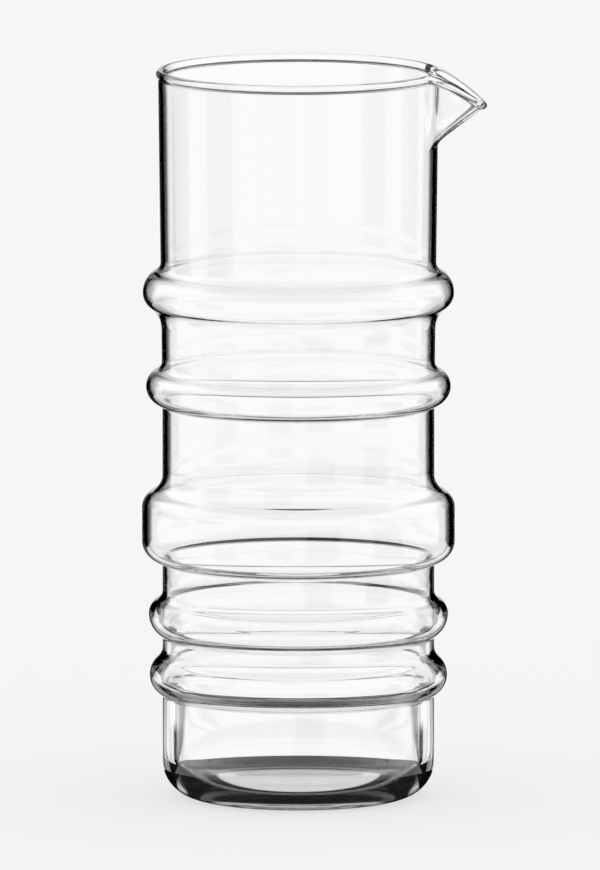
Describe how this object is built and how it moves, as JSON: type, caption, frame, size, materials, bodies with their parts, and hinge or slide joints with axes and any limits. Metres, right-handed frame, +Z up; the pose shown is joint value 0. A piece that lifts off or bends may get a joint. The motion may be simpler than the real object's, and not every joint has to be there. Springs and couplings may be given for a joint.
{
  "type": "water carafe",
  "caption": "Handle-less clear glass water carafe: a tall blown vessel with raised rings and a wide band round its wall, a thicker base, and a pouring spout pulled from the lip.",
  "frame": {"origin": "on the vessel's axis, in the plane of the flat ring that it stands on", "axes": "+Z up along the vessel's axis, +X towards the pouring spout"},
  "size_m": [0.1178, 0.107, 0.25],
  "materials": {
    "clear_glass": "mouth-blown, clear and colourless, fire-polished"
  },
  "bodies": {
    "root": {"base": "clear_glass", "heel": "clear_glass", "foot": "clear_glass", "bottom_ring_under": "clear_glass", "bottom_ring_over": "clear_glass", "ring_groove": "clear_glass", "lower_ring_under": "clear_glass", "lower_ring_over": "clear_glass", "band_groove": "clear_glass", "band_under": "clear_glass", "band_face": "clear_glass", "band_shoulder": "clear_glass", "waist": "clear_glass", "middle_ring_under": "clear_glass", "middle_ring_over": "clear_glass", "collar": "clear_glass", "upper_ring_under": "clear_glass", "upper_ring_over": "clear_glass", "neck": "clear_glass", "lip": "clear_glass", "spout": "clear_glass"}
  },
  "joints": []
}
